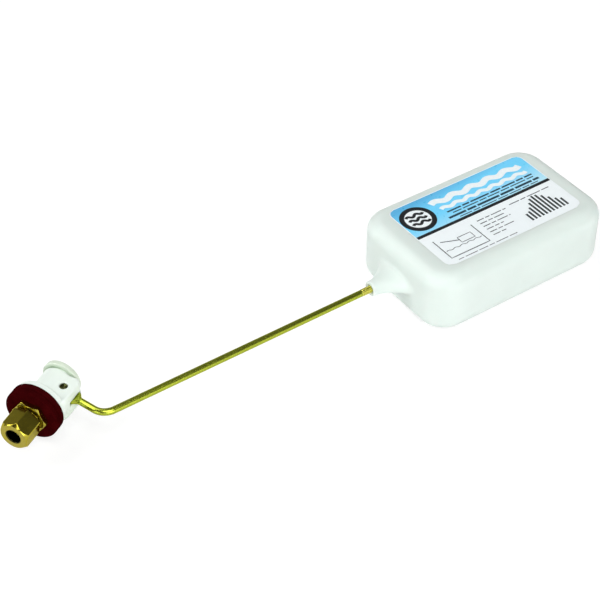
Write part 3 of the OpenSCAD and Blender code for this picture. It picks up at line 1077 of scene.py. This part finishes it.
def lower_half():
    """Grey strokes: a tank with its float and water line, ruled lines and a bar gauge."""
    tank = [(-34, -4.5), (-34, -18.5), (-12, -18.5), (-12, -4.5)]
    box = [(-23, -8.4), (-15.5, -8.4), (-15.5, -12.2), (-23, -12.2), (-23, -8.4)]
    lines = [(divided(tank, 2), 0.5), (divided(box, 2), 0.4)]
    lines += [(((-31.5, -6.8), (-23, -10.2)), 0.5), (wave(-33, -13, -13.6, 0.3, 4), 0.35)]
    for y, end in ((-4.2, 9), (-6.6, 6), (-9, 8), (-11.4, 2), (-13.8, 6), (-16.2, 0)):
        lines += broken(-8, end, y, 0.5, (4, 2.5, 6))
    lines += broken(12, 36, -3.2, 0.5, (6, 3, 8))
    for k in range(11):
        x = 14 + 2.1 * k
        lines.append((((x, -18.5), (x, -8.5 - 4.6 * math.cos(0.6 * k))), 1.15))
    lines += broken(-32, 2, -21, 0.4, (3, 7, 5))
    return lines


class FLOATVALVE_OT_sticker(bpy.types.Operator):
    """Printed sticker on the float"""

    bl_idname = "float_valve.sticker"
    bl_label = "Sticker"

    def execute(self, context):
        half_w, film_t, margin = STICKER_W / 2, 0.1, 0.4
        stripe_low, stripe_high = -0.7, 1.1
        film = draped("sticker_film", [sheet_rows(-half_w, half_w)], film_t, film_base(), film_t)
        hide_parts("float_label")
        field = sheet_rows(stripe_high, half_w - margin, margin)
        draped("sticker_field", [field], 0.115, blue_print())
        black, white = plain_ink("black_ink", "ink_black"), plain_ink("white_ink", "film_white")
        navy, grey = plain_ink("navy_ink", "ink_navy"), plain_ink("grey_ink", "ink_grey")
        badge = (-29.3, 12.4)
        draped("sticker_stripe", [sheet_rows(stripe_low, stripe_high, margin)], 0.12, black)
        draped("sticker_badge", [disc_rows(badge, 8.8)], 0.13, black)
        ribbons = ((wave(-18, 35, 17.4, 0.9, 10.6), 3.4), (wave(-16, 35, 12.2, 0.6, 7.3), 2.2))
        panel = disc_rows(badge, 6.4)
        draped("sticker_ribbons", [panel, *(ribbon_rows(*r) for r in ribbons)], 0.145, white)
        waves = [ribbon_rows(wave(-34, -24.6, y, 0.7, 4.7), 1.5) for y in (9.4, 12.4, 15.4)]
        draped("sticker_badge_waves", waves, 0.16, black)
        rules = [
            *broken(-15, 36, 8.9, 0.95, (8, 4, 11, 6)),
            *broken(-13, 36, 7.1, 0.65, (5, 9, 4, 7)),
            *broken(-17, 37, 4.9, 1.3, (10, 5, 13, 8)),
            *broken(-12, 35, 3.0, 0.55, (7, 4, 9, 6)),
        ]
        draped("sticker_rules", [ribbon_rows(*rule) for rule in rules], 0.13, navy)
        drawing = [ribbon_rows(*line) for line in lower_half()]
        draped("sticker_drawing", drawing, 0.12, grey)
        return {"FINISHED"}


# ---- stage


def aim_camera(scene):
    """Camera at the panel's angles and distance from its aim."""
    stage = scene.float_valve_stage
    rise, level = math.sin(stage.elevation), math.cos(stage.elevation)
    back = Vector((math.sin(stage.azimuth) * level, -math.cos(stage.azimuth) * level, rise))
    data = bpy.data.cameras.new("camera")
    data.lens, data.sensor_width = stage.lens, 36
    data.clip_start, data.clip_end = 0.01, 50
    camera = bpy.data.objects.new("camera", data)
    turn = (-back).to_track_quat("-Z", "Y").to_matrix().to_4x4()
    place = Matrix.Translation(Vector(stage.aim) + back * stage.distance)
    camera.matrix_world = place @ turn @ Matrix.Rotation(stage.roll, 4, "Z")
    scene.collection.objects.link(camera)
    scene.camera = camera


def lay_floor():
    """White floor: the camera sees it near white, with the object's soft shadow."""
    low = CAD_BOX[0][2] / MM
    half = 6000
    corners = [(-half, -half, low), (half, -half, low), (half, half, low), (-half, half, low)]
    floor = new_piece("floor", corners, [(0, 1, 2, 3)], smooth=False)
    material = bpy.data.materials.new("white_floor")
    tree = cleared_tree(material)
    card = add(tree, "BsdfDiffuse", {"Color": linear("#f4f4f4")})
    dim = add(tree, "BsdfDiffuse", {"Color": linear("#959595")})
    glow = add(tree, "Emission", {"Color": linear("#ffffff"), "Strength": 0.77})
    shown = add(tree, "AddShader", links={0: dim.outputs[0], 1: glow.outputs[0]})
    seen = add(tree, "LightPath").outputs["Is Camera Ray"]
    both = add(tree, "MixShader", links={0: seen, 1: card.outputs[0], 2: shown.outputs[0]})
    add(tree, "OutputMaterial", links={"Surface": both.outputs[0]})
    floor.data.materials.append(material)


def light_room(scene):
    """Room round the table: white up to a little above the horizon, dim above that."""
    world = bpy.data.worlds.new("studio")
    scene.world = world
    tree = cleared_tree(world)
    around = add(tree, "TexCoord").outputs["Generated"]
    shares = []
    # upwards, leaning a little to the back, and sideways towards the room's bright end
    for way, low, high in (((0, 0.25, 1), 0.06, 0.16), ((0.8, 0.6, 0), -0.4, 0.9)):
        along = add(tree, "VectorMath", {"operation": "DOT_PRODUCT", 1: way}, {0: around})
        span = {"From Min": low, "From Max": high}
        shares.append(add(tree, "MapRange", span, {"Value": along.outputs["Value"]}).outputs[0])
    wall = add(tree, "Mix", {**RGBA, 6: linear("#404040"), 7: linear("#868686")}, {0: shares[1]})
    tone = add(tree, "Mix", {**RGBA, 6: linear("#ffffff")}, {0: shares[0], 7: wall.outputs[2]})
    room = add(tree, "Background", {"Strength": 1.0}, {"Color": tone.outputs[2]})
    plain = add(tree, "Background", {"Color": linear("#ffffff"), "Strength": 1.0})
    # the camera, also through glass, sees plain white; everything else sees the room
    path = add(tree, "LightPath")
    rays = {0: path.outputs["Is Camera Ray"], 1: path.outputs["Is Transmission Ray"]}
    seen = add(tree, "Math", {"operation": "MAXIMUM"}, rays)
    both = {0: seen.outputs[0], 1: room.outputs[0], 2: plain.outputs[0]}
    shown = add(tree, "MixShader", links=both)
    add(tree, "OutputWorld", links={"Surface": shown.outputs[0]})


def lamp(name, direction, width, radiance):
    """A square softbox, its width in mm, in that direction and aimed at the object's middle."""
    distance = 2500 * MM
    middle = (Vector(CAD_BOX[0]) + Vector(CAD_BOX[1])) / 2
    data = bpy.data.lights.new(name, "AREA")
    data.size = width * MM
    data.energy = radiance * math.pi * data.size**2
    piece = bpy.data.objects.new(name, data)
    piece.location = middle + distance * Vector(direction).normalized()
    piece.rotation_euler = (middle - piece.location).to_track_quat("-Z", "Y").to_euler()
    bpy.context.scene.collection.objects.link(piece)


class FLOATVALVE_OT_stage(bpy.types.Operator):
    """Camera, floor, sky and lamps"""

    bl_idname = "float_valve.stage"
    bl_label = "Stage"

    def execute(self, context):
        scene = context.scene
        scene.view_settings.view_transform = "Standard"
        aim_camera(scene)
        lay_floor()
        light_room(scene)
        for name, direction, width, radiance in (
            ("softbox_top", (-0.41, -0.30, 0.87), 1500, 4.5),
            ("softbox_side", (-0.30, 0.75, 0.60), 1200, 5.6),
            ("softbox_left", (-0.93, 0.33, 0.15), 1000, 2.8),
            ("softbox_front", (-0.60, -0.75, 0.25), 1500, 3.4),
            ("softbox_back", (0.15, 0.55, 0.82), 1100, 3.0),
        ):
            lamp(name, direction, width, radiance)
        return {"FINISHED"}


# ---- panel and run


OPERATORS = (
    FLOATVALVE_OT_body,
    FLOATVALVE_OT_inlet,
    FLOATVALVE_OT_gaskets,
    FLOATVALVE_OT_plunger,
    FLOATVALVE_OT_arm,
    FLOATVALVE_OT_float,
    FLOATVALVE_OT_sticker,
    FLOATVALVE_OT_stage,
)
SETTINGS = {
    "float_valve_stage": FloatValveStage,
    "float_valve_sizes": FloatValveSizes,
    "float_valve_colours": FloatValveColours,
}


class FLOATVALVE_PT_panel(bpy.types.Panel):
    """Lists the operators and their settings"""

    bl_idname = "FLOATVALVE_PT_panel"
    bl_label = "Float valve"
    bl_space_type = "VIEW_3D"
    bl_region_type = "UI"
    bl_category = "Float valve"

    def draw(self, context):
        for operator in OPERATORS:
            self.layout.operator(operator.bl_idname)
        for name, group in SETTINGS.items():
            column = self.layout.column(heading=group.__doc__)
            for prop in group.__annotations__:
                column.prop(getattr(context.scene, name), prop)


def register():
    for group in SETTINGS.values():
        bpy.utils.register_class(group)
    for name, group in SETTINGS.items():
        setattr(bpy.types.Scene, name, bpy.props.PointerProperty(type=group))
    for operator in OPERATORS:
        bpy.utils.register_class(operator)
    bpy.utils.register_class(FLOATVALVE_PT_panel)


def unregister():
    bpy.utils.unregister_class(FLOATVALVE_PT_panel)
    for operator in reversed(OPERATORS):
        bpy.utils.unregister_class(operator)
    for name, group in SETTINGS.items():
        delattr(bpy.types.Scene, name)
        bpy.utils.unregister_class(group)


def main():
    register()
    for operator in OPERATORS:
        group, name = operator.bl_idname.split(".")
        getattr(getattr(bpy.ops, group), name)()


if __name__ == "__main__":
    main()
